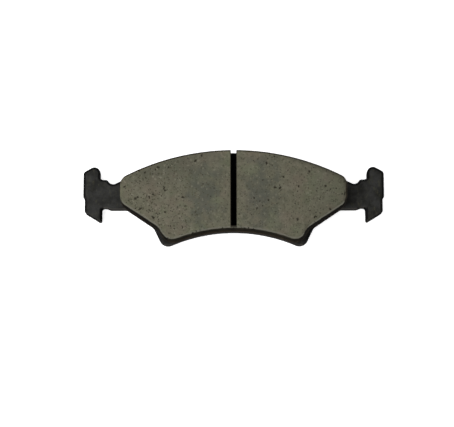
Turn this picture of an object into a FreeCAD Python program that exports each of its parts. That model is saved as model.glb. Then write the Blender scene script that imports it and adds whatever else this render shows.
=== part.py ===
"""Disc brake pad with hammerhead ears: steel backing plate, moulded lining in two halves, bonded shim.

Frame: the pad lies on its shim. +X runs along the pad, +Y points away from the disc's centre,
+Z is the normal of the friction face. The origin is on the shim's outer face, in the middle of the pad.
"""

import FreeCAD, Part
import math
import os
from collections import namedtuple

import Sketcher
from FreeCAD import Vector

LEFT = -1
RIGHT = 1

# How Sketcher numbers the origin, the vertical axis and the points of a line or an arc.
ORIGIN = (-1, 1)
VERTICAL_AXIS = -2
START = 1
END = 2
CENTRE = 3

# Points closer than this are the same point.
TOUCHING = 1e-4

# Every length is in millimetres and every angle in degrees.
SIZES = {
    # Layers, from the shim's outer face upwards.
    "shim_rubber_outer_thickness": 0.15,
    "shim_core_thickness": 0.45,
    "shim_rubber_inner_thickness": 0.1,
    "shim_adhesive_thickness": 0.1,
    "plate_thickness": 5.5,
    "underlayer_thickness": 2.0,
    "lining_thickness": 8.0,
    # Distance from the origin down to the centre of the disc that the pad is bent around.
    "disc_centre_drop": 94.4,
    # Backing plate, right half, clockwise from the end of its outer arc.
    "plate_outer_radius": 117.9,
    "plate_arc_end_x": 50.7,
    "neck_top_x": 60.9,
    "neck_top_y": 7.1,
    "shelf_start_x": 63.1,
    "shelf_y": 9.9,
    "upper_hook_x": 66.6,
    "upper_lobe_y": 18.5,
    "ear_outer_x": 75.0,
    "ear_outer_top_y": 13.75,
    "ear_step_top_y": 1.2,
    "ear_step_x": 74.2,
    "ear_step_bottom_y": -0.2,
    "ear_outer_bottom_y": -6.7,
    "lower_hook_x": 65.6,
    "ear_tip_y": -12.0,
    "relief_y": -4.3,
    "relief_start_x": 63.2,
    "neck_bottom_end_x": 61.3,
    "neck_bottom_y": -5.1,
    "neck_bottom_start_x": 53.3,
    "plate_kink_x": 39.9,
    "plate_kink_y": -14.2,
    "horn_x": 34.8,
    "plate_inner_radius": 77.9,
    # Corner and edge radii of the backing plate.
    "neck_top_radius": 2.5,
    "shelf_start_radius": 0.9,
    "shelf_radius": 1.6,
    "upper_lobe_radius": 3.0,
    "ear_outer_radius": 2.0,
    "ear_step_radius": 1.0,
    "ear_tip_radius": 0.8,
    "relief_radius": 1.2,
    "neck_bottom_radius": 2.0,
    "plate_kink_radius": 3.0,
    "horn_radius": 4.5,
    "plate_roll_radius": 0.7,
    "plate_burr_radius": 0.3,
    # Retention holes through the backing plate, and half-sheared pips on its back.
    "retention_hole_diameter": 10.0,
    "inner_hole_x": 16.5,
    "inner_hole_y": 3.5,
    "outer_hole_x": 40.5,
    "outer_hole_y": 0.5,
    "pip_diameter": 5.0,
    "pip_height": 0.6,
    "pip_x": 28.5,
    "pip_y": 2.0,
    # Lining and underlayer, right half, where they meet the plate.
    "mould_draft": 1.5,
    "lining_outer_radius": 117.7,
    "lining_end_x": 56.25,
    "lining_corner_y": -3.2,
    "lining_kink_x": 37.6,
    "lining_kink_y": -15.5,
    "lining_horn_x": 32.5,
    "lining_inner_radius": 78.0,
    "lining_upper_corner_radius": 5.5,
    "lining_lower_corner_radius": 6.0,
    "lining_kink_radius": 7.0,
    "lining_horn_radius": 6.0,
    "lining_edge_radius": 1.1,
    # Slot across the lining and the underlayer, down to the plate: open at the outer arc, closed by a
    # thin web at the inner one, where the two halves meet.
    "slot_width": 2.7,
    "slot_end_y": -15.0,
    # How far each half is drawn past the pad's centre line, and the block that trims it back.
    "lining_overlap_x": -3.0,
    "trim_far_x": -5.0,
    "trim_top_y": 30.0,
    "trim_bottom_y": -30.0,
    # Shim, right half.
    "shim_outer_radius": 116.0,
    "shim_end_x": 54.0,
    "shim_corner_y": -2.9,
    "shim_kink_x": 38.7,
    "shim_kink_y": -13.0,
    "shim_horn_x": 34.0,
    "shim_inner_radius": 79.4,
    "shim_end_radius": 3.5,
    "shim_kink_radius": 4.5,
    "shim_horn_radius": 3.2,
    "shim_hole_diameter": 5.6,
}

# Sizes that follow from the ones above.
DERIVED = {
    "core_bottom": "shim_rubber_outer_thickness",
    "rubber_inner_bottom": "core_bottom + shim_core_thickness",
    "adhesive_bottom": "rubber_inner_bottom + shim_rubber_inner_thickness",
    "plate_bottom": "adhesive_bottom + shim_adhesive_thickness",
    "plate_top": "plate_bottom + plate_thickness",
    "moulding_thickness": "underlayer_thickness + lining_thickness",
    "slot_edge_x": "slot_width / 2",
}

# A corner of an outline. Its x is a size's name, or None on the pad's centre line. Its y is a size's name,
# or None where the corner lies on an arc about the disc's centre. arc names the radius of such an arc
# that leaves the corner, and radius names the corner's own rounding.
Corner = namedtuple("Corner", "x y arc radius", defaults=(None, None, None, None))

PLATE_OUTLINE = [
    Corner(arc="plate_outer_radius"),
    Corner("plate_arc_end_x"),
    Corner("neck_top_x", "neck_top_y", radius="neck_top_radius"),
    Corner("shelf_start_x", "shelf_y", radius="shelf_start_radius"),
    Corner("upper_hook_x", "shelf_y", radius="shelf_radius"),
    Corner("upper_hook_x", "upper_lobe_y", radius="upper_lobe_radius"),
    Corner("ear_outer_x", "ear_outer_top_y", radius="ear_outer_radius"),
    Corner("ear_outer_x", "ear_step_top_y", radius="ear_step_radius"),
    Corner("ear_step_x", "ear_step_bottom_y", radius="ear_step_radius"),
    Corner("ear_step_x", "ear_outer_bottom_y", radius="ear_outer_radius"),
    Corner("lower_hook_x", "ear_tip_y", radius="ear_tip_radius"),
    Corner("lower_hook_x", "relief_y", radius="relief_radius"),
    Corner("relief_start_x", "relief_y", radius="relief_radius"),
    Corner("neck_bottom_end_x", "neck_bottom_y", radius="relief_radius"),
    Corner("neck_bottom_start_x", "neck_bottom_y", radius="neck_bottom_radius"),
    Corner("plate_kink_x", "plate_kink_y", radius="plate_kink_radius"),
    Corner("horn_x", arc="plate_inner_radius", radius="horn_radius"),
    Corner(),
]

LINING_OUTLINE = [
    Corner("lining_overlap_x", arc="lining_outer_radius"),
    Corner("lining_end_x", radius="lining_upper_corner_radius"),
    Corner("lining_end_x", "lining_corner_y", radius="lining_lower_corner_radius"),
    Corner("lining_kink_x", "lining_kink_y", radius="lining_kink_radius"),
    Corner("lining_horn_x", arc="lining_inner_radius", radius="lining_horn_radius"),
    Corner("lining_overlap_x"),
]

# What is cut off each half: its share of the slot, and all that lies past the centre line.
TRIM_OUTLINE = [
    Corner("slot_edge_x", "trim_top_y"),
    Corner("slot_edge_x", "slot_end_y"),
    Corner(y="slot_end_y"),
    Corner(y="trim_bottom_y"),
    Corner("trim_far_x", "trim_bottom_y"),
    Corner("trim_far_x", "trim_top_y"),
]

SHIM_OUTLINE = [
    Corner(arc="shim_outer_radius"),
    Corner("shim_end_x", radius="shim_end_radius"),
    Corner("shim_end_x", "shim_corner_y", radius="shim_end_radius"),
    Corner("shim_kink_x", "shim_kink_y", radius="shim_kink_radius"),
    Corner("shim_horn_x", arc="shim_inner_radius", radius="shim_horn_radius"),
    Corner(),
]

RETENTION_HOLES = [("inner_hole_x", "inner_hole_y"), ("outer_hole_x", "outer_hole_y")]
PIPS = [("pip_x", "pip_y")]

# Shim layers: node, height of the lower face (None is the origin's plane), thickness.
SHIM_LAYERS = [
    ("shim_rubber_outer", None, "shim_rubber_outer_thickness"),
    ("shim_steel_core", "core_bottom", "shim_core_thickness"),
    ("shim_rubber_inner", "rubber_inner_bottom", "shim_rubber_inner_thickness"),
    ("shim_adhesive", "adhesive_bottom", "shim_adhesive_thickness"),
]

doc = FreeCAD.newDocument("brake_pad")


def make_sheet():
    """The spreadsheet of driving sizes: names in column A, aliased cells in column B."""
    sheet = doc.addObject("Spreadsheet::Sheet", "Sizes")
    for row, (name, value) in enumerate([*SIZES.items(), *DERIVED.items()], start=1):
        sheet.set(f"A{row}", name)
        sheet.set(f"B{row}", f"={value}" if name in DERIVED else str(value))
        sheet.setAlias(f"B{row}", name)
    doc.recompute()
    return sheet


sizes = make_sheet()


def cell(name, side=RIGHT):
    """The expression that reads a size from the sheet, negated on the left side."""
    return f"Sizes.{name}" if side == RIGHT else f"-Sizes.{name}"


def size(name):
    """A size's number, for first guesses and for finding edges."""
    return float(getattr(sizes, name))


def new_body(label):
    """An empty body whose label names its file."""
    body = doc.addObject("PartDesign::Body", label)
    body.Label = label
    return body


def origin_plane(body, role):
    """The body's own origin plane with this role."""
    return next(feature for feature in body.Origin.OriginFeatures if feature.Role == role)


def new_sketch(body, name, height):
    """A sketch on the body's XY plane, raised to the height that a cell holds."""
    sketch = body.newObject("Sketcher::SketchObject", name)
    sketch.AttachmentSupport = [(origin_plane(body, "XY_Plane"), "")]
    sketch.MapMode = "FlatFace"
    if height:
        sketch.setExpression("AttachmentOffset.Base.z", cell(height))
    return sketch


def bind(sketch, constraint, name, expression):
    """Add a dimension to a sketch and bind it to an expression."""
    index = sketch.addConstraint(Sketcher.Constraint(*constraint))
    sketch.renameConstraint(index, name)
    sketch.setExpression(f"Constraints.{name}", expression)


def arc_radius(outline, index):
    """The radius name of the arc that leaves or reaches a corner, or None."""
    return outline[index].arc or outline[index - 1].arc


def corner_points(outline, side):
    """Where the outline's corners lie before they are rounded."""
    points = []
    for index, corner in enumerate(outline):
        x = size(corner.x) if corner.x else 0.0
        if corner.y:
            y = size(corner.y)
        else:
            y = math.sqrt(size(arc_radius(outline, index)) ** 2 - x**2) - size("disc_centre_drop")
        points.append(Vector(side * x, y, 0))
    return points


def add_segment(sketch, start, end, radius_name):
    """Add a line, or an arc about the disc's centre. Returns its index and its two ends' point numbers."""
    if not radius_name:
        return sketch.addGeometry(Part.LineSegment(start, end)), START, END
    centre = Vector(0, -size("disc_centre_drop"), 0)
    angles = [math.atan2(point.y - centre.y, point.x - centre.x) for point in (start, end)]
    circle = Part.Circle(centre, Vector(0, 0, 1), size(radius_name))
    index = sketch.addGeometry(Part.ArcOfCircle(circle, min(angles), max(angles)))
    return (index, START, END) if angles[0] < angles[1] else (index, END, START)


def draw_outline(sketch, outline, side=RIGHT):
    """Draw a closed outline with sharp corners and bind every corner and arc to the sheet."""
    points = corner_points(outline, side)
    segments = []
    for index, corner in enumerate(outline):
        following = points[(index + 1) % len(points)]
        segments.append(add_segment(sketch, points[index], following, corner.arc))

    for index, (segment, start, _) in enumerate(segments):
        previous, _, previous_end = segments[index - 1]
        sketch.addConstraint(Sketcher.Constraint("Coincident", previous, previous_end, segment, start))

    for index, (corner, (segment, start, _)) in enumerate(zip(outline, segments)):
        if corner.x:
            distance = ("DistanceX", *ORIGIN, segment, start, points[index].x)
            bind(sketch, distance, f"corner_{index}_x", cell(corner.x, side))
        else:
            sketch.addConstraint(Sketcher.Constraint("PointOnObject", segment, start, VERTICAL_AXIS))
        if corner.y:
            distance = ("DistanceY", *ORIGIN, segment, start, points[index].y)
            bind(sketch, distance, f"corner_{index}_y", cell(corner.y))
        if corner.arc:
            drop = ("DistanceY", segment, CENTRE, *ORIGIN, size("disc_centre_drop"))
            sketch.addConstraint(Sketcher.Constraint("PointOnObject", segment, CENTRE, VERTICAL_AXIS))
            bind(sketch, drop, f"centre_{index}", cell("disc_centre_drop"))
            bind(sketch, ("Radius", segment, size(corner.arc)), f"radius_{index}", cell(corner.arc))


def draw_circles(sketch, places, diameter, sides):
    """Draw one circle for each place on each side, bound to the sheet."""
    for x, y in places:
        for side in sides:
            centre = Vector(side * size(x), size(y), 0)
            circle = sketch.addGeometry(Part.Circle(centre, Vector(0, 0, 1), size(diameter) / 2))
            across = ("DistanceX", *ORIGIN, circle, CENTRE, centre.x)
            bind(sketch, across, f"circle_{circle}_x", cell(x, side))
            bind(sketch, ("DistanceY", *ORIGIN, circle, CENTRE, centre.y), f"circle_{circle}_y", cell(y))
            bind(sketch, ("Diameter", circle, size(diameter)), f"circle_{circle}_diameter", cell(diameter))


def extrude(body, kind, name, sketch, length, reverse=False):
    """Add a Pad or Pocket of a sketch, whose length is a cell's, and check that it changed the volume."""
    before = body.Shape.Volume if body.Tip else 0.0
    feature = body.newObject(f"PartDesign::{kind}", name)
    feature.Profile = sketch
    feature.setExpression("Length", cell(length))
    feature.Reversed = reverse
    doc.recompute()
    grown = feature.Shape.Volume - before
    if grown * (1 if kind == "Pad" else -1) <= 0:
        raise RuntimeError(f"{body.Label}: {name} changed the volume by {grown:.3f} mm3")
    return feature


def add_fillet(body, name, edges, radius):
    """Fillet the named edges of the body's last feature by a cell's radius."""
    base = body.Tip
    fillet = body.newObject("PartDesign::Fillet", name)
    fillet.Base = (base, edges)
    fillet.setExpression("Radius", cell(radius))
    doc.recompute()
    return fillet


def upright_edge(shape, point):
    """The name of the full-height edge that is nearest to a corner point."""

    def distance(numbered):
        box = numbered[1].BoundBox
        if box.ZLength < shape.BoundBox.ZLength / 2:
            return math.inf
        return math.hypot(box.Center.x - point.x, box.Center.y - point.y)

    number, _ = min(enumerate(shape.Edges, start=1), key=distance)
    return f"Edge{number}"


def round_corners(body, outline, side=RIGHT):
    """Fillet the upright edges of an outline's corners, one feature for each radius."""
    groups = {}
    for corner, point in zip(outline, corner_points(outline, side)):
        if corner.radius:
            groups.setdefault(corner.radius, []).append(point)
    for radius, points in groups.items():
        edges = [upright_edge(body.Tip.Shape, point) for point in points]
        add_fillet(body, f"{body.Label}_{radius}", edges, radius)


def round_rim(body, height, radius):
    """Fillet the edges that lie flat at a height."""
    edges = []
    for number, edge in enumerate(body.Tip.Shape.Edges, start=1):
        ends = [edge.valueAt(parameter) for parameter in edge.ParameterRange]
        if all(abs(end.z - height) < TOUCHING for end in ends):
            edges.append(f"Edge{number}")
    add_fillet(body, f"{body.Label}_{radius}", edges, radius)


def mirror_about_middle(body):
    """Add the left half: the whole shape mirrored in the pad's YZ plane."""
    mirrored = body.newObject("PartDesign::Mirrored", f"{body.Label}_mirrored")
    mirrored.TransformMode = "Whole shape"
    mirrored.MirrorPlane = (origin_plane(body, "YZ_Plane"), [""])
    body.Tip = mirrored
    doc.recompute()


def backing_plate():
    """Blanked plate with hammerhead ears, retention holes, and pips half-sheared out of its back."""
    body = new_body("backing_plate")
    outline = new_sketch(body, "plate_outline", "plate_bottom")
    draw_outline(outline, PLATE_OUTLINE)
    extrude(body, "Pad", "plate_pad", outline, "plate_thickness")
    round_corners(body, PLATE_OUTLINE)
    mirror_about_middle(body)
    round_rim(body, size("plate_top"), "plate_roll_radius")
    round_rim(body, size("plate_bottom"), "plate_burr_radius")

    holes = new_sketch(body, "retention_circles", "plate_top")
    draw_circles(holes, RETENTION_HOLES, "retention_hole_diameter", (LEFT, RIGHT))
    extrude(body, "Pocket", "retention_holes", holes, "plate_thickness")

    sheared = new_sketch(body, "pip_recess_circles", "plate_top")
    draw_circles(sheared, PIPS, "pip_diameter", (LEFT, RIGHT))
    extrude(body, "Pocket", "pip_recesses", sheared, "pip_height")

    pips = new_sketch(body, "pip_circles", "plate_bottom")
    draw_circles(pips, PIPS, "pip_diameter", (LEFT, RIGHT))
    extrude(body, "Pad", "pips", pips, "pip_height", reverse=True)
    return body


def moulding(body, side, thickness):
    """Pad the drafted outline of one lining half up from the plate, its corners still sharp."""
    outline = new_sketch(body, f"{body.Label}_outline", "plate_top")
    draw_outline(outline, LINING_OUTLINE, side)
    pad = extrude(body, "Pad", f"{body.Label}_pad", outline, thickness)
    pad.setExpression("TaperAngle", f"-{cell('mould_draft')}")
    doc.recompute()
    return outline


def trim_half(body, side, thickness):
    """Cut this half's share of the slot, and trim it back to the centre line, from the plate up."""
    outline = new_sketch(body, f"{body.Label}_trim_outline", "plate_top")
    draw_outline(outline, TRIM_OUTLINE, side)
    extrude(body, "Pocket", f"{body.Label}_trim", outline, thickness, reverse=True)


def underlayer(label, side):
    """Bonding layer of one lining half, with the plugs that key it into the plate."""
    body = new_body(label)
    moulding(body, side, "underlayer_thickness")
    round_corners(body, LINING_OUTLINE, side)
    trim_half(body, side, "underlayer_thickness")

    plugs = new_sketch(body, f"{label}_plug_circles", "plate_top")
    draw_circles(plugs, RETENTION_HOLES, "retention_hole_diameter", (side,))
    extrude(body, "Pad", f"{label}_plugs", plugs, "plate_thickness", reverse=True)

    keys = new_sketch(body, f"{label}_key_circles", "plate_top")
    draw_circles(keys, PIPS, "pip_diameter", (side,))
    extrude(body, "Pad", f"{label}_keys", keys, "pip_height", reverse=True)
    return body


def friction_block(label, side):
    """Lining half: the moulding without the underlayer's share, its face edges broken."""
    body = new_body(label)
    outline = moulding(body, side, "moulding_thickness")
    extrude(body, "Pocket", f"{label}_underlayer_space", outline, "underlayer_thickness", reverse=True)
    round_corners(body, LINING_OUTLINE, side)
    round_rim(body, size("plate_top") + size("moulding_thickness"), "lining_edge_radius")
    trim_half(body, side, "moulding_thickness")
    return body


def shim_layer(label, bottom, thickness):
    """One layer of the shim, with holes that locate it on the plate's pips."""
    body = new_body(label)
    outline = new_sketch(body, f"{label}_outline", bottom)
    draw_outline(outline, SHIM_OUTLINE)
    extrude(body, "Pad", f"{label}_pad", outline, thickness)
    round_corners(body, SHIM_OUTLINE)
    mirror_about_middle(body)

    holes = new_sketch(body, f"{label}_hole_circles", bottom)
    draw_circles(holes, PIPS, "shim_hole_diameter", (LEFT, RIGHT))
    extrude(body, "Pocket", f"{label}_holes", holes, thickness, reverse=True)
    return body


def check_document(bodies):
    """Stop unless every object computed, every sketch is fully fixed and every body is one valid solid."""
    for item in doc.Objects:
        if "Invalid" in item.State or "Error" in item.State:
            raise RuntimeError(f"{item.Label}: {item.State}")
        if item.TypeId == "Sketcher::SketchObject" and not item.FullyConstrained:
            raise RuntimeError(f"{item.Label} isn't fully constrained")
    for body in bodies:
        shape = body.Shape
        if shape.isNull() or not shape.isValid() or len(shape.Solids) != 1:
            raise RuntimeError(f"{body.Label} isn't one valid solid")


def main():
    bodies = [
        backing_plate(),
        underlayer("underlayer_left", LEFT),
        underlayer("underlayer_right", RIGHT),
        friction_block("friction_block_left", LEFT),
        friction_block("friction_block_right", RIGHT),
    ]
    bodies += [shim_layer(*layer) for layer in SHIM_LAYERS]
    doc.recompute()
    check_document(bodies)

    os.makedirs("parts", exist_ok=True)
    for body in bodies:
        body.Shape.exportStep(f"parts/{body.Label}.step")
        box = body.Shape.optimalBoundingBox(False)
        extent = f"{box.XLength:.2f} x {box.YLength:.2f} x {box.ZLength:.2f} mm"
        print(f"{body.Label}: {extent}, {body.Shape.Volume:.0f} mm3, y {box.YMin:.2f} to {box.YMax:.2f}")


main()
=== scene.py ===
"""Looks of the disc brake pad: ground friction face, moulded skin, painted plate and laminated shim."""

import itertools
import math

import bmesh
import bpy
import numpy as np
from mathutils import Matrix, Vector
from mathutils.kdtree import KDTree


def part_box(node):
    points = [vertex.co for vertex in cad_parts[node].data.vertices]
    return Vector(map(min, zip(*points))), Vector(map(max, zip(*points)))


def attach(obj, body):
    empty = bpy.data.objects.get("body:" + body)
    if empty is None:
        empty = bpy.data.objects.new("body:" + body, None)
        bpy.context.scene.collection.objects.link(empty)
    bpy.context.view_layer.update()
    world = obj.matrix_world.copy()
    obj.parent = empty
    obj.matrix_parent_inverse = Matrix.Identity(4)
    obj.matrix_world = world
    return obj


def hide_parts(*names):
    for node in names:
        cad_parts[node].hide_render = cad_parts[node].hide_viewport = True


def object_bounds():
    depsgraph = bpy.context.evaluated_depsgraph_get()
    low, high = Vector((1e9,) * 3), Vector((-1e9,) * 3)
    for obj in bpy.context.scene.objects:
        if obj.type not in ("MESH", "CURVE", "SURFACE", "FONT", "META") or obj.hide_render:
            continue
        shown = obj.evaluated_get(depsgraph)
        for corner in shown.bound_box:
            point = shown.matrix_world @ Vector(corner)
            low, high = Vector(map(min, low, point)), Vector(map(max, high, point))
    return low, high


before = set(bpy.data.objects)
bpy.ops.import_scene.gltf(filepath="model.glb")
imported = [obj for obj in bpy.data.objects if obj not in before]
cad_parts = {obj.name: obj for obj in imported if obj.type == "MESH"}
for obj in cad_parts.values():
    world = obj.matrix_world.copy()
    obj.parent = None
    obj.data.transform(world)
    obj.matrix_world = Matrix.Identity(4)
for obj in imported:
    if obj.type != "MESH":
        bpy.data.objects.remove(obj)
cad_low, cad_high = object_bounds()

MM = 0.001

# The photograph's viewpoint: how high the camera stands, how far off, and where it aims
# beside the pad's middle.
CAMERA_ELEVATION = math.radians(79.8)
CAMERA_DISTANCE = 733.3 * MM
CAMERA_LENS = 117.1
CAMERA_ROLL = math.radians(0.11)
AIM_RIGHT = -3.31 * MM
AIM_UP = -7.5 * MM

# Backing plate: mesh fineness, the rounding of its upper edge, and how high the fracture zone reaches.
PLATE_VOXEL = 0.36 * MM
PLATE_ROLL = 0.7 * MM
TORN_HEIGHT = 2.0 * MM

# Friction blocks: mesh fineness and the rounding of the face's edge.
BLOCK_VOXEL = 0.27 * MM
ROLL_OFF = 1.1 * MM

# What grinding tears out of each block: how many holes of each kind, their smallest and largest radius in
# millimetres, and how deep the deepest is.
LARGE_PITS = 18
LARGE_PIT_RADII = (0.5, 0.85)
SMALL_PITS = 75
SMALL_PIT_RADII = (0.2, 0.4)
CHIPS = 12
CHIP_RADII = (0.25, 0.55)
DEEPEST_PIT = 0.4 * MM

# Smoky zone of each block, as shares of half the lining's length: how far out its middle is, and its
# half sizes.
SMOKE_MIDDLE = 0.26
SMOKE_HALF_WIDTH = 0.17
SMOKE_HALF_HEIGHT = 0.34

# How wide the plate's black outline of painted shade is, and how far the blocks' fine meshes lie inside the
# CAD.
OUTLINE_SHADE_WIDTH = 1.1 * MM
GROUND_AWAY = 0.03 * MM

# Lights: sizes and distances in metres, powers in watts. The two side fills share one power.
KEY_SIZE = 0.3
KEY_DISTANCE = 0.4
KEY_POWER = 1.45
FRONT_POWER = 3.6
SIDE_POWER = 10.0
FILL_SIZE = 0.6
FILL_DISTANCE = 1.0

# Random numbers behind the noise in meshes, and the factors that pick one of them for each lattice point.
NOISE_VALUES = 4096
LATTICE_FACTORS = (73856093, 19349663, 83492791)


def paint(red, green, blue):
    """A linear colour from display values of 0 to 255."""
    display = [channel / 255 for channel in (red, green, blue)]
    linear = [c / 12.92 if c <= 0.04045 else ((c + 0.055) / 1.055) ** 2.4 for c in display]
    return (*linear, 1.0)


class Finish:
    """A procedural material under construction. Each method adds a node and returns its output."""

    def __init__(self, name):
        self.material = bpy.data.materials.new(name)
        self.material.use_nodes = True
        self.tree = self.material.node_tree
        self.shader = self.tree.nodes["Principled BSDF"]
        where = self.tree.nodes.new("ShaderNodeTexCoord").outputs["Object"]
        self.place = self.scaled(where, (1 / MM, 1 / MM, 1 / MM))

    def plug(self, socket, value):
        if isinstance(value, bpy.types.NodeSocket):
            self.tree.links.new(value, socket)
        else:
            socket.default_value = value

    def add(self, kind, inputs, output=0, **settings):
        node = self.tree.nodes.new(kind)
        for name, value in settings.items():
            setattr(node, name, value)
        for name, value in inputs.items():
            self.plug(node.inputs[name], value)
        return node.outputs[output]

    def scaled(self, vector, factors):
        return self.add("ShaderNodeVectorMath", {0: vector, 1: factors}, operation="MULTIPLY")

    def math(self, operation, first, second=0.0, clamp=False):
        inputs = {0: first, 1: second}
        return self.add("ShaderNodeMath", inputs, operation=operation, use_clamp=clamp)

    def axis(self, vector, index):
        return self.add("ShaderNodeSeparateXYZ", {0: vector}, output=index)

    def noise(self, width, detail=2.0, roughness=0.5, stretch=(1, 1, 1)):
        """Noise from 0 to 1 whose blobs are about this many millimetres wide."""
        place = self.scaled(self.place, stretch)
        inputs = {"Vector": place, "Scale": 1 / width, "Detail": detail, "Roughness": roughness}
        return self.add("ShaderNodeTexNoise", inputs, output="Fac")

    def ramp(self, value, start, stop, low=0.0, high=1.0):
        """Smoothly from low to high as value goes from start to stop."""
        inputs = {"Value": value, "From Min": start, "From Max": stop, "To Min": low, "To Max": high}
        return self.add("ShaderNodeMapRange", inputs, interpolation_type="SMOOTHSTEP")

    def mix(self, factor, first, second):
        """Blend two colours, which are inputs 6 and 7 of a mix node."""
        inputs = {0: factor, 6: first, 7: second}
        return self.add("ShaderNodeMix", inputs, output=2, data_type="RGBA")

    def specks(self, spacing, share, size=0.45, offset=0.0):
        """A mask of ragged specks: one cell in so many, each a part of its cell's size."""
        noise = {"Vector": self.place, "Scale": 2.2 / spacing, "Detail": 2.0}
        wobble = self.scaled(self.add("ShaderNodeTexNoise", noise, output="Color"), (spacing,) * 3)
        moved = self.add("ShaderNodeVectorMath", {0: wobble, 1: self.place}, operation="ADD")
        shifted = self.add("ShaderNodeVectorMath", {0: moved, 1: (offset,) * 3}, operation="ADD")
        cells = self.tree.nodes.new("ShaderNodeTexVoronoi")
        self.plug(cells.inputs["Vector"], shifted)
        self.plug(cells.inputs["Scale"], 1 / spacing)
        chosen = self.math("LESS_THAN", self.axis(cells.outputs["Color"], 0), share)
        near = self.ramp(cells.outputs["Distance"], size, size * 0.6)
        return self.math("MULTIPLY", chosen, near)

    def attribute(self, name):
        return self.add("ShaderNodeAttribute", {}, output="Fac", attribute_name=name)

    def normal(self):
        """Which way the surface faces."""
        return self.add("ShaderNodeNewGeometry", {}, output="Normal")

    def slanting_wall_shade(self, strength):
        """A mask of the walls that face the front and aside at once, where painted shade goes."""
        normal = self.normal()
        aside = self.ramp(self.math("ABSOLUTE", self.axis(normal, 0)), 0.3, 0.5, 0.0, strength)
        return self.math("MULTIPLY", aside, self.ramp(self.axis(normal, 1), 0.0, -0.4))

    def bump(self, height, distance):
        """Bump whose height of 1 stands this many millimetres proud."""
        inputs = {"Height": height, "Distance": distance * MM, "Strength": 1.0}
        return self.add("ShaderNodeBump", inputs)

    def surface(self, **inputs):
        """Set the shader's sockets, whose names are given with underscores."""
        for name, value in inputs.items():
            self.plug(self.shader.inputs[name.replace("_", " ")], value)
        return self.material


def ground_matrix(f, mottle, grit):
    """Olive grey matrix of the ground face, drifting warmer and greener, full of fine grains."""
    drift = f.noise(13.0, detail=4.0, roughness=0.6)
    face = f.mix(f.ramp(drift, 0.35, 0.65), paint(82, 80, 66), paint(91, 89, 76))
    face = f.mix(f.ramp(mottle, 0.35, 0.7, 0.0, 0.9), face, paint(72, 71, 58))
    face = f.mix(f.ramp(grit, 0.35, 0.75, 0.0, 0.4), face, paint(104, 102, 88))
    warm = f.ramp(f.noise(15.0, detail=3.0, roughness=0.6), 0.45, 0.65, 0.0, 0.4)
    green = f.ramp(f.noise(11.0, detail=3.0, roughness=0.6), 0.45, 0.65, 0.0, 0.4)
    face = f.mix(warm, face, paint(92, 82, 72))
    return f.mix(green, face, paint(80, 86, 66))


def ground_zones(f, face, low, high):
    """Smoky film in each block, and a duller upper left corner and right end."""
    half = high.x / MM
    centre_y = (low.y + high.y) / 2 / MM
    place_x = f.axis(f.place, 0)
    place_y = f.axis(f.place, 1)
    across = f.math("ABSOLUTE", place_x)
    off_x = f.math("DIVIDE", f.math("SUBTRACT", across, SMOKE_MIDDLE * half), SMOKE_HALF_WIDTH * half)
    off_y = f.math("DIVIDE", f.math("SUBTRACT", place_y, centre_y), SMOKE_HALF_HEIGHT * half)
    away = f.math("SQRT", f.math("ADD", f.math("POWER", off_x, 2.0), f.math("POWER", off_y, 2.0)))
    ragged = f.math("ADD", away, f.ramp(f.noise(5.0, detail=5.0, roughness=0.6), 0.2, 0.8, -0.7, 0.7))
    smoke = f.math("MULTIPLY", f.ramp(ragged, 1.3, 0.0), 0.75)
    face = f.mix(smoke, face, paint(66, 68, 61))

    upper = f.ramp(place_y, centre_y, centre_y + 0.25 * half)
    upper = f.math("MULTIPLY", upper, f.ramp(place_x, -0.05 * half, -0.5 * half))
    dull = f.math("ADD", upper, f.ramp(place_x, 0.55 * half, 0.9 * half, 0.0, 0.55))
    return f.mix(f.math("MULTIPLY", dull, 0.55), face, paint(66, 66, 56))


def ground_grains(f, face, graphite, pale, high):
    """Graphite, brown resin and rubber, pale fillers and larger dull clots, coarser towards the left."""
    half = high.x / MM
    clots = f.specks(1.5, 0.55, size=0.36, offset=83.0)
    brown = f.specks(1.2, 0.16, offset=31.0)
    blotches = f.specks(1.9, 0.45, size=0.36, offset=11.0)
    coarse = f.ramp(f.axis(f.place, 0), -0.2 * half, -0.75 * half, 0.55, 0.9)
    face = f.mix(f.math("MULTIPLY", blotches, f.math("MULTIPLY", coarse, 0.7)), face, paint(106, 103, 90))
    face = f.mix(f.math("MULTIPLY", brown, 0.18), face, paint(96, 82, 66))
    face = f.mix(f.math("MULTIPLY", pale, 0.38), face, paint(118, 116, 102))
    face = f.mix(f.math("MULTIPLY", clots, coarse), face, paint(58, 58, 45))
    face = f.mix(f.math("MULTIPLY", graphite, coarse), face, paint(50, 50, 40))
    # Painted shade on the face near the edges that look right, read from the film attribute.
    face = f.mix(f.math("MULTIPLY", f.attribute("film"), 0.8), face, paint(62, 60, 50))
    # Painted highlight along the face's edges that look to the front, read from the rim attribute.
    return f.mix(f.math("MULTIPLY", f.attribute("rim"), 0.45), face, paint(112, 111, 102))


def moulded_skin(f):
    """Resin-rich, brown black skin of the walls, with a little grinding dust."""
    cloud = f.noise(3.5, detail=4.0, roughness=0.6)
    hide = f.mix(f.ramp(cloud, 0.3, 0.7), paint(24, 21, 14), paint(44, 39, 29))
    dust = f.ramp(f.noise(0.6, detail=4.0, roughness=0.7), 0.55, 0.75, 0.0, 0.5)
    hide = f.mix(dust, hide, paint(86, 80, 64))
    # Painted shade on the walls that face the front and aside at once.
    return f.mix(f.slanting_wall_shade(0.85), hide, paint(6, 5, 4))


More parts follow.
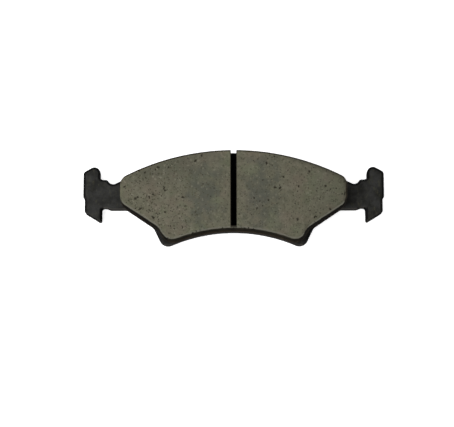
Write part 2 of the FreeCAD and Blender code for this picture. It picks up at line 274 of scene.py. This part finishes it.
def friction_material(low, high):
    """Ground composite on the face, dark moulded skin on the walls, a scraped groove at the slot.

    The corners low and high are those of both blocks together.
    """
    f = Finish("friction_composite")
    groove = f.attribute("groove")
    mottle = f.noise(2.2, detail=4.0, roughness=0.6)
    grit = f.noise(0.35, detail=3.0, roughness=0.7)
    graphite = f.specks(0.9, 0.2)
    pale = f.specks(0.7, 0.10, size=0.35, offset=57.0)

    face = ground_matrix(f, mottle, grit)
    face = ground_zones(f, face, low, high)
    face = ground_grains(f, face, graphite, pale, high)
    cut = f.mix(f.ramp(mottle, 0.3, 0.7), paint(38, 36, 30), paint(52, 49, 40))
    cut = f.mix(f.math("MULTIPLY", graphite, 0.6), cut, paint(20, 19, 17))
    colour = f.mix(f.attribute("skin"), face, moulded_skin(f))
    colour = f.mix(groove, colour, cut)
    hollow = f.ramp(f.noise(0.3, detail=2.0), 0.2, 0.6, 0.7, 1.0)
    colour = f.mix(f.math("MULTIPLY", f.attribute("pit"), hollow), colour, paint(46, 44, 34))

    # Relief: grains stand proud or torn out, and the grinder leaves fine lines along the pad.
    lines = f.noise(0.12, detail=2.0, stretch=(0.02, 1.0, 1.0))
    scrapes = f.noise(0.15, detail=2.0, stretch=(1.0, 0.03, 1.0))
    relief = f.math("ADD", f.math("MULTIPLY", grit, 0.6), f.math("MULTIPLY", mottle, 0.5))
    relief = f.math("SUBTRACT", relief, f.math("MULTIPLY", graphite, 0.5))
    relief = f.math("ADD", relief, f.math("MULTIPLY", pale, 0.2))
    relief = f.math("ADD", relief, f.math("MULTIPLY", lines, 0.25))
    relief = f.math("ADD", relief, f.math("MULTIPLY", f.math("MULTIPLY", scrapes, groove), 1.5))
    roughness = f.ramp(mottle, 0.2, 0.8, 0.78, 0.95)
    return f.surface(
        Base_Color=colour, Roughness=roughness, Normal=f.bump(relief, 0.09), Specular_IOR_Level=0.12
    )


def underlayer_material():
    """Bonding compound: finer and browner than the friction material, pressed smooth at its edge."""
    f = Finish("underlayer_compound")
    cloud = f.noise(2.5, detail=4.0, roughness=0.6)
    grit = f.noise(0.3, detail=3.0, roughness=0.7)
    colour = f.mix(f.ramp(cloud, 0.3, 0.7), paint(40, 33, 24), paint(60, 50, 37))
    colour = f.mix(f.math("MULTIPLY", f.specks(0.6, 0.15), 0.6), colour, paint(92, 78, 58))
    colour = f.mix(f.ramp(grit, 0.5, 0.8, 0.0, 0.5), colour, paint(78, 68, 52))
    # Painted shade on the walls that face the front and aside at once.
    colour = f.mix(f.slanting_wall_shade(0.7), colour, paint(8, 6, 4))
    roughness = f.ramp(cloud, 0.3, 0.7, 0.7, 0.9)
    return f.surface(
        Base_Color=colour, Roughness=roughness, Normal=f.bump(grit, 0.08), Specular_IOR_Level=0.12
    )


def plate_material():
    """Baked black paint over blanked steel, with painted shade at its edges and painted light on walls that
    face the front.
    """
    f = Finish("plate_black_paint")
    torn = f.attribute("torn")
    cloud = f.noise(6.0, detail=5.0, roughness=0.6)
    fine = f.noise(0.5, detail=3.0, roughness=0.6)
    streaks = f.noise(1.4, detail=5.0, roughness=0.75, stretch=(1.0, 0.35, 1.0))
    colour = f.mix(f.ramp(cloud, 0.35, 0.65), paint(26, 26, 24), paint(43, 43, 42))
    colour = f.mix(f.ramp(streaks, 0.52, 0.68, 0.0, 0.6), colour, paint(58, 57, 44))
    colour = f.mix(f.ramp(fine, 0.5, 0.7, 0.0, 0.5), colour, paint(24, 24, 20))

    # Walls: along is -1 where a wall faces straight to the front, whatever its tilt, with a ragged border.
    normal = f.normal()
    upright = f.axis(normal, 2)
    level = f.math("SQRT", f.math("SUBTRACT", 1.0, f.math("MULTIPLY", upright, upright), clamp=True))
    along = f.math("DIVIDE", f.axis(normal, 1), f.math("MAXIMUM", level, 0.1))
    border = f.ramp(f.noise(2.0, detail=4.0, roughness=0.6), 0.25, 0.75, -0.07, 0.07)
    along = f.math("ADD", along, border)
    side = f.ramp(upright, 0.97, 0.8)
    shaded = f.math("MULTIPLY", side, f.ramp(along, 0.0, -0.5, 0.0, 0.8))
    painted_front_light = f.math("MULTIPLY", side, f.ramp(along, -0.84, -0.99, 0.0, 0.8))
    # Painted shade on walls that face aside or away from the front.
    colour = f.mix(shaded, colour, paint(7, 7, 6))
    # Painted light on walls that face straight to the front.
    colour = f.mix(painted_front_light, colour, paint(70, 68, 64))
    # A black outline of painted shade along the plate's upper edge, except where that edge faces the front.
    colour = f.mix(f.attribute("outline_shade"), colour, paint(2, 2, 2))
    bare = f.math("MULTIPLY", torn, f.ramp(fine, 0.45, 0.7, 0.0, 0.5))
    colour = f.mix(bare, colour, paint(48, 44, 40))

    # The strip at the bottom of the narrow slot gets near-black painted shade, and is made rough and dull.
    across = f.math("ABSOLUTE", f.axis(f.place, 0))
    under_slot = f.math("MULTIPLY", f.ramp(across, 2.2, 1.4), f.ramp(upright, 0.7, 0.95))
    colour = f.mix(under_slot, colour, paint(3, 3, 3))

    peel = f.noise(0.9, detail=1.0)
    roughness = f.math("ADD", f.ramp(cloud, 0.3, 0.7, 0.42, 0.52), f.math("MULTIPLY", torn, 0.15))
    roughness = f.math("ADD", roughness, under_slot, clamp=True)
    return f.surface(
        Base_Color=colour, Roughness=roughness, Normal=f.bump(peel, 0.04), Specular_IOR_Level=0.07
    )


def rubber_material():
    """Nitrile coating of the shim: matt black with a fine calendered grain."""
    f = Finish("shim_rubber_coat")
    cloud = f.noise(5.0, detail=4.0, roughness=0.6)
    grain = f.noise(0.25, detail=2.0)
    colour = f.mix(f.ramp(cloud, 0.3, 0.7), paint(28, 28, 29), paint(40, 40, 40))
    roughness = f.ramp(grain, 0.3, 0.7, 0.6, 0.8)
    return f.surface(
        Base_Color=colour, Roughness=roughness, Normal=f.bump(grain, 0.04), Specular_IOR_Level=0.35
    )


def steel_material():
    """Cut edge of the shim's cold-rolled core, with a first trace of rust."""
    f = Finish("shim_steel")
    grain = f.noise(0.2, detail=2.0, stretch=(0.1, 0.1, 1.0))
    rust = f.ramp(f.noise(1.5, detail=5.0, roughness=0.7), 0.55, 0.75, 0.0, 0.7)
    colour = f.mix(f.ramp(grain, 0.3, 0.7), paint(120, 120, 122), paint(160, 160, 160))
    colour = f.mix(rust, colour, paint(96, 70, 48))
    roughness = f.math("ADD", f.ramp(grain, 0.3, 0.7, 0.3, 0.45), f.math("MULTIPLY", rust, 0.4))
    return f.surface(Base_Color=colour, Roughness=roughness, Normal=f.bump(grain, 0.02), Metallic=1.0)


def adhesive_material():
    """Pressure-sensitive film between the shim and the plate: amber, soft at its edge."""
    f = Finish("shim_adhesive_film")
    cloud = f.noise(1.2, detail=3.0)
    colour = f.mix(f.ramp(cloud, 0.3, 0.7), paint(96, 84, 60), paint(124, 108, 78))
    roughness = f.ramp(cloud, 0.3, 0.7, 0.3, 0.5)
    return f.surface(Base_Color=colour, Roughness=roughness, Normal=f.bump(cloud, 0.03))


def floor_material():
    """White light table: it glows a little, so that shadows on it stay pale."""
    f = Finish("floor_white")
    tone = f.mix(f.ramp(f.noise(200.0), 0.3, 0.7), paint(206, 206, 206), paint(210, 210, 210))
    f.plug(f.shader.inputs["Emission Color"], (1.0, 1.0, 1.0, 1.0))
    return f.surface(Base_Color=tone, Roughness=0.9, Specular_IOR_Level=0.0, Emission_Strength=0.75)


def cell_noise(points, width, seed):
    """Smooth noise from -1 to 1 at each point, with blobs about this wide."""
    table = np.random.default_rng(seed).uniform(-1, 1, NOISE_VALUES)
    scaled = points / width
    base = np.floor(scaled).astype(np.int64)
    part = scaled - base
    part = part * part * (3 - 2 * part)
    total = np.zeros(len(points))
    for corner in itertools.product((0, 1), repeat=3):
        key = (base + corner) @ np.array(LATTICE_FACTORS)
        weight = np.prod(np.where(corner, part, 1 - part), axis=1)
        total += weight * table[key % NOISE_VALUES]
    return total


def smooth(value, start, stop):
    """Smoothly from 0 to 1 as value goes from start to stop."""
    part = np.clip((value - start) / (stop - start), 0, 1)
    return part * part * (3 - 2 * part)


def fine_copy(node, name, voxel):
    """An even, fine quad mesh of a CAD node, as a new object."""
    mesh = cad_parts[node].data.copy()
    builder = bmesh.new()
    builder.from_mesh(mesh)
    bmesh.ops.remove_doubles(builder, verts=builder.verts, dist=0.001 * MM)
    builder.to_mesh(mesh)
    builder.free()
    mesh.materials.clear()
    piece = bpy.data.objects.new(name, mesh)
    bpy.context.scene.collection.objects.link(piece)
    remesh = piece.modifiers.new("even", "REMESH")
    remesh.mode = "VOXEL"
    remesh.voxel_size = voxel
    remesh.use_smooth_shade = True
    evaluated = piece.evaluated_get(bpy.context.evaluated_depsgraph_get())
    piece.data = bpy.data.meshes.new_from_object(evaluated)
    piece.modifiers.clear()
    return piece


def read(mesh, field):
    """Every vertex's position or normal, as rows."""
    flat = np.empty(len(mesh.vertices) * 3)
    mesh.vertices.foreach_get(field, flat)
    return flat.reshape(-1, 3)


def refine(mesh, centres, reach):
    """Halve the edges within reach of each centre, so that small holes keep their shape."""
    builder = bmesh.new()
    builder.from_mesh(mesh)
    positions = read(mesh, "co")
    close = np.zeros(len(positions), bool)
    for centre, distance in zip(centres, reach):
        close |= np.linalg.norm(positions - centre, axis=1) < distance
    builder.verts.ensure_lookup_table()
    edges = [edge for edge in builder.edges if close[edge.verts[0].index] and close[edge.verts[1].index]]
    bmesh.ops.subdivide_edges(builder, edges=edges, cuts=1, use_grid_fill=True)
    builder.to_mesh(mesh)
    builder.free()


def shift(mesh, positions, normals, distances):
    """Move every vertex along its normal."""
    mesh.vertices.foreach_set("co", (positions + normals * distances[:, None]).ravel())


def store(mesh, name, values):
    """Keep a number for each vertex, for the materials to read."""
    layer = mesh.attributes.new(name, "FLOAT", "POINT")
    layer.data.foreach_set("value", np.asarray(values, np.float32))


def nearest_rim(positions, normals, rim, wanted):
    """For each wanted vertex, how far the nearest rim vertex is and which way that one looks."""
    tree = KDTree(len(rim))
    for number, place in enumerate(positions[rim]):
        tree.insert(place, number)
    tree.balance()
    found = [tree.find(place)[1:] for place in positions[wanted]]
    nearest, distance = np.array(found).T
    look = normals[rim[nearest.astype(int)], :2]
    return distance, look / np.linalg.norm(look, axis=1)[:, None]


def edge_shade_band(positions, normals, depth, slot_edge, seed):
    """Dark painted shade on the face along the edges that look right."""
    halfway = (depth > 0.3 * ROLL_OFF) & (depth < 0.5 * ROLL_OFF)
    rim = np.flatnonzero(halfway & (np.abs(positions[:, 0]) > slot_edge + ROLL_OFF))
    wanted = np.flatnonzero(depth < ROLL_OFF)
    distance, look = nearest_rim(positions, normals, rim, wanted)
    reach = 3.0 * MM * (1 + 0.5 * cell_noise(positions[wanted], 3 * MM, seed))
    film = np.zeros(len(positions))
    film[wanted] = smooth(look[:, 0], 0.1, 0.4) * smooth(look[:, 1], -0.95, -0.4)
    film[wanted] *= smooth(distance, reach, 0.6 * MM)
    return film


def stand_in(piece, node):
    """Show this fixed piece instead of the CAD node that it was made from."""
    piece.data.update()
    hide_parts(node)
    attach(piece, "root")


def torn_zone(positions, side, bottom, seed):
    """The lower part of a blanked edge, where the steel broke instead of shearing; its border wanders."""
    wander = 0.5 * cell_noise(positions, 2.5 * MM, seed) + 0.2 * cell_noise(positions, 0.8 * MM, seed + 1)
    height = positions[:, 2] - bottom + wander * MM
    return side * smooth(height, TORN_HEIGHT + 0.3 * MM, TORN_HEIGHT - 0.1 * MM)


def painted_plate(node, seed):
    """The backing plate: orange peel on its faces, shear lines and a torn zone on its blanked edges."""
    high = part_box(node)[1]
    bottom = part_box("shim_adhesive")[1].z
    piece = fine_copy(node, f"{node}_painted", PLATE_VOXEL)
    positions = read(piece.data, "co")
    normals = read(piece.data, "normal")
    depth = high.z - positions[:, 2]
    side = smooth(np.abs(normals[:, 2]), 0.6, 0.2)
    torn = torn_zone(positions, side, bottom, seed)
    squeezed = positions * np.array([1.0, 1.0, 0.1])
    lines = cell_noise(squeezed, 0.5 * MM, seed + 2)
    rough = cell_noise(positions, 0.6 * MM, seed + 3)
    peel = cell_noise(positions, 1.3 * MM, seed + 4)
    millimetres = 0.008 * peel * (1 - side) + 0.025 * lines * (side - torn)
    millimetres += (0.07 * rough - 0.05) * torn - 0.008
    shift(piece.data, positions, normals, np.minimum(millimetres, 0) * MM)

    # Where the black outline of painted shade lies: near the upper edge's rounding, except where the edge
    # faces the front.
    rounded = (depth < 0.6 * PLATE_ROLL) & (normals[:, 2] > 0.3) & (normals[:, 2] < 0.9)
    wanted = np.flatnonzero((depth < PLATE_ROLL) & (normals[:, 2] > 0.1))
    distance, look = nearest_rim(positions, normals, np.flatnonzero(rounded), wanted)
    outline_shade = np.zeros(len(positions))
    outline_shade[wanted] = smooth(distance, OUTLINE_SHADE_WIDTH, OUTLINE_SHADE_WIDTH - 0.4 * MM)
    outline_shade[wanted] *= smooth(look[:, 1], -0.7, -0.3)
    store(piece.data, "outline_shade", outline_shade)
    store(piece.data, "torn", torn)
    stand_in(piece, node)
    return piece


def choose_holes(positions, low, high, rng):
    """Middles and radii of the holes: pits on the face, mostly far from the slot, and chips on its rim.

    Pits come first, the large ones before the small ones, then chips.
    """
    flat = np.flatnonzero(positions[:, 2] > high.z - 0.02 * MM)
    depth = high.z - positions[:, 2]
    rims = np.flatnonzero((depth > 0.2 * MM) & (depth < 0.5 * MM))
    outer = np.abs(positions[flat, 0]) / max(abs(low.x), abs(high.x))
    pits = positions[rng.choice(flat, LARGE_PITS + SMALL_PITS, p=outer / outer.sum())]
    chips = positions[rng.choice(rims, CHIPS)]
    large = rng.uniform(*LARGE_PIT_RADII, LARGE_PITS) * MM
    small = rng.uniform(*SMALL_PIT_RADII, SMALL_PITS) * MM
    chipped = rng.uniform(*CHIP_RADII, CHIPS) * MM
    return np.concatenate([pits, chips]), np.concatenate([large, small, chipped])


def dig_holes(positions, centres, sizes, rng, seed):
    """How much each vertex lies in a ragged, oval hole, from 0 to 1, and how far it moves, in metres."""
    ragged = 0.45 * cell_noise(positions, 0.35 * MM, seed)
    ragged += 0.2 * cell_noise(positions, 0.16 * MM, seed + 1)
    pit = np.zeros(len(positions))
    moved = np.zeros(len(positions))
    for centre, size in zip(centres, sizes):
        stretch = rng.uniform(0.7, 1.4)
        angle = rng.uniform(0, math.pi)
        offset = positions - centre
        along = offset[:, 0] * math.cos(angle) + offset[:, 1] * math.sin(angle)
        aside = offset[:, 1] * math.cos(angle) - offset[:, 0] * math.sin(angle)
        away = np.sqrt((along * stretch) ** 2 + (aside / stretch) ** 2 + offset[:, 2] ** 2) / size
        hole = smooth(away + ragged, 1.0, 0.55)
        pit = np.maximum(pit, hole)
        moved = np.minimum(moved, -hole * min(size * 0.75, DEEPEST_PIT))
    return pit, moved


def unevenness(positions, depth, seed):
    """Shallow waves on the face and coarser grain on the walls, in metres."""
    wall = smooth(depth, 0.5 * ROLL_OFF, ROLL_OFF)
    waves = cell_noise(positions, 6 * MM, seed) * 0.02
    waves += cell_noise(positions, 0.9 * MM, seed + 1) * 0.015
    grain = cell_noise(positions, 0.5 * MM, seed + 2) * 0.035
    grain += cell_noise(positions, 1.7 * MM, seed + 3) * 0.05
    return (waves * (1 - wall) + grain * wall - 0.05 * wall) * MM


def skin_and_rim_highlight(positions, normals, depth, seed):
    """Where the moulded skin starts, reaching higher as painted shade on edges that look right or back, and
    the painted highlight above it on edges that look to the front.
    """
    edge = smooth(depth + 0.03 * MM * cell_noise(positions, 1.5 * MM, seed), 0.01 * MM, 0.08 * MM)
    outward = normals[:, :2] / np.maximum(np.linalg.norm(normals[:, :2], axis=1), 0.05)[:, None]
    # On edges that look right or back the skin starts higher up the rounding, as painted shade.
    right = np.clip(outward[:, 0], 0, 1) * np.clip(1.5 + 1.5 * outward[:, 1], 0, 1)
    shaded = np.clip(1.6 * right + 1.15 * np.clip(outward[:, 1], 0, 1), 0, 1)
    start = (0.6 - 0.585 * shaded) * MM
    ragged = cell_noise(positions, 1.1 * MM, seed + 1) * 0.4
    skin = smooth(depth, start * (1 + ragged), start * (1 + ragged) + 0.03 * MM + 0.1 * start)
    return skin, edge * (1 - skin) * smooth(outward[:, 1], -0.3, -0.7)


def friction_block(node, seed):
    """A friction block with pits torn out of its ground face and chips out of its edges."""
    low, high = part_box(node)
    corners = read(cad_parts[node].data, "co")
    slot_edge = np.abs(corners[corners[:, 1] > 0, 0]).min()
    slot_end = corners[np.abs(corners[:, 0]) < 0.01 * MM, 1].max()
    piece = fine_copy(node, f"{node}_ground", BLOCK_VOXEL)
    rng = np.random.default_rng(seed)
    centres, sizes = choose_holes(read(piece.data, "co"), low, high, rng)
    refine(piece.data, centres, sizes * 1.5 + 0.25 * MM)

    positions = read(piece.data, "co")
    normals = read(piece.data, "normal")
    depth = high.z - positions[:, 2]
    pit, moved = dig_holes(positions, centres, sizes, rng, seed + 1)
    moved += unevenness(positions, depth, seed + 3) - GROUND_AWAY
    moved *= smooth(np.abs(positions[:, 0]), 0.1 * MM, 0.6 * MM)
    shift(piece.data, positions, normals, moved)

    groove = smooth(np.abs(positions[:, 0]), slot_edge + 0.26 * MM, slot_edge + 0.12 * MM)
    groove *= smooth(positions[:, 1], slot_end - 1.15 * MM, slot_end - 0.55 * MM)
    skin, rim = skin_and_rim_highlight(positions, normals, depth, seed + 7)
    store(piece.data, "pit", pit)
    # The rim attribute holds a painted highlight along the edges that look to the front.
    store(piece.data, "rim", rim)
    store(piece.data, "skin", skin)
    store(piece.data, "groove", groove)
    # The film attribute holds painted shade along the edges that look right.
    store(piece.data, "film", edge_shade_band(positions, normals, depth, slot_edge, seed + 9))
    stand_in(piece, node)
    return piece


def dress(node, material):
    """Give a carried-over CAD node its material."""
    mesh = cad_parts[node].data
    mesh.materials.clear()
    mesh.materials.append(material)


def place_camera(middle):
    """The photograph's camera: nearly overhead, with the pad a little above the picture's middle."""
    back = Vector((0, -math.cos(CAMERA_ELEVATION), math.sin(CAMERA_ELEVATION)))
    up = Vector((0, math.sin(CAMERA_ELEVATION), math.cos(CAMERA_ELEVATION)))
    data = bpy.data.cameras.new("camera")
    data.lens = CAMERA_LENS
    data.sensor_width = 36.0
    data.clip_start = 0.01
    data.clip_end = 100.0
    camera = bpy.data.objects.new("camera", data)
    camera.location = middle + back * CAMERA_DISTANCE
    forward = (middle + Vector((AIM_RIGHT, 0, 0)) + up * AIM_UP - camera.location).normalized()
    right = Matrix.Rotation(CAMERA_ROLL, 3, forward) @ forward.cross(up).normalized()
    camera.rotation_mode = "QUATERNION"
    camera.rotation_quaternion = Matrix((right, right.cross(forward), -forward)).transposed().to_quaternion()
    bpy.context.scene.collection.objects.link(camera)
    bpy.context.scene.camera = camera


def place_light(name, direction, distance, size, power, target):
    """A square soft box that faces the pad."""
    data = bpy.data.lights.new(name, "AREA")
    data.size = size
    data.energy = power
    lamp = bpy.data.objects.new(name, data)
    lamp.location = target + Vector(direction).normalized() * distance
    lamp.rotation_mode = "QUATERNION"
    lamp.rotation_quaternion = (target - lamp.location).to_track_quat("-Z", "Y")
    bpy.context.scene.collection.objects.link(lamp)


def place_world():
    """A white room whose light comes from above and more from the left; low down it is dim."""
    world = bpy.data.worlds.new("studio")
    world.use_nodes = True
    bpy.context.scene.world = world
    nodes = world.node_tree.nodes
    links = world.node_tree.links
    nodes.clear()
    direction = nodes.new("ShaderNodeTexCoord").outputs["Generated"]
    axes = nodes.new("ShaderNodeSeparateXYZ")
    links.new(direction, axes.inputs[0])
    dome = nodes.new("ShaderNodeMapRange")
    dome.interpolation_type = "SMOOTHSTEP"
    for name, value in {"From Min": 0.3, "From Max": 0.95, "To Min": 0.05, "To Max": 0.55}.items():
        dome.inputs[name].default_value = value
    links.new(axes.outputs[2], dome.inputs["Value"])
    lean = nodes.new("ShaderNodeMapRange")
    for name, value in {"From Min": -1.0, "From Max": 1.0, "To Min": 1.6, "To Max": 0.4}.items():
        lean.inputs[name].default_value = value
    links.new(axes.outputs[0], lean.inputs["Value"])
    strength = nodes.new("ShaderNodeMath")
    strength.operation = "MULTIPLY"
    links.new(dome.outputs[0], strength.inputs[0])
    links.new(lean.outputs[0], strength.inputs[1])
    room = nodes.new("ShaderNodeBackground")
    links.new(strength.outputs[0], room.inputs["Strength"])
    backdrop = nodes.new("ShaderNodeBackground")
    backdrop.inputs["Strength"].default_value = 1.1
    seen = nodes.new("ShaderNodeMixShader")
    links.new(nodes.new("ShaderNodeLightPath").outputs["Is Camera Ray"], seen.inputs[0])
    links.new(room.outputs[0], seen.inputs[1])
    links.new(backdrop.outputs[0], seen.inputs[2])
    links.new(seen.outputs[0], nodes.new("ShaderNodeOutputWorld").inputs["Surface"])
    for shader in (room, backdrop):
        shader.inputs["Color"].default_value = (1.0, 1.0, 1.0, 1.0)


def place_floor(height):
    """A wide white floor. It shows to the camera only, so the pad's sides stay as dark as in a dim room."""
    mesh = bpy.data.meshes.new("floor")
    reach = 8.0
    signs = [(-1, -1), (1, -1), (1, 1), (-1, 1)]
    mesh.from_pydata([(x * reach, y * reach, height) for x, y in signs], [], [(0, 1, 2, 3)])
    mesh.materials.append(floor_material())
    floor = bpy.data.objects.new("floor", mesh)
    floor.visible_diffuse = False
    floor.visible_glossy = False
    bpy.context.scene.collection.objects.link(floor)


bpy.context.scene.view_settings.view_transform = "Standard"

middle = Vector((0, 0, 8 * MM))
place_camera(middle)
place_world()
place_light("key", (-0.85, -0.3, 1.2), KEY_DISTANCE, KEY_SIZE, KEY_POWER, middle)
place_light("front_fill", (0.3, -1.0, 0.15), FILL_DISTANCE, FILL_SIZE, FRONT_POWER, middle)
place_light("right_fill", (1.0, 0.25, 0.16), FILL_DISTANCE, FILL_SIZE, SIDE_POWER, middle)
place_light("back_fill", (-0.45, 1.0, 0.18), FILL_DISTANCE, FILL_SIZE, SIDE_POWER, middle)
place_floor(cad_low.z - 0.02 * MM)

composite = friction_material(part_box("friction_block_left")[0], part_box("friction_block_right")[1])
for number, node in enumerate(["friction_block_left", "friction_block_right"]):
    friction_block(node, seed=40 + 20 * number).data.materials.append(composite)

bonding = underlayer_material()
rubber = rubber_material()
painted_plate("backing_plate", seed=20).data.materials.append(plate_material())
dress("underlayer_left", bonding)
dress("underlayer_right", bonding)
dress("shim_adhesive", adhesive_material())
dress("shim_rubber_inner", rubber)
dress("shim_rubber_outer", rubber)
dress("shim_steel_core", steel_material())
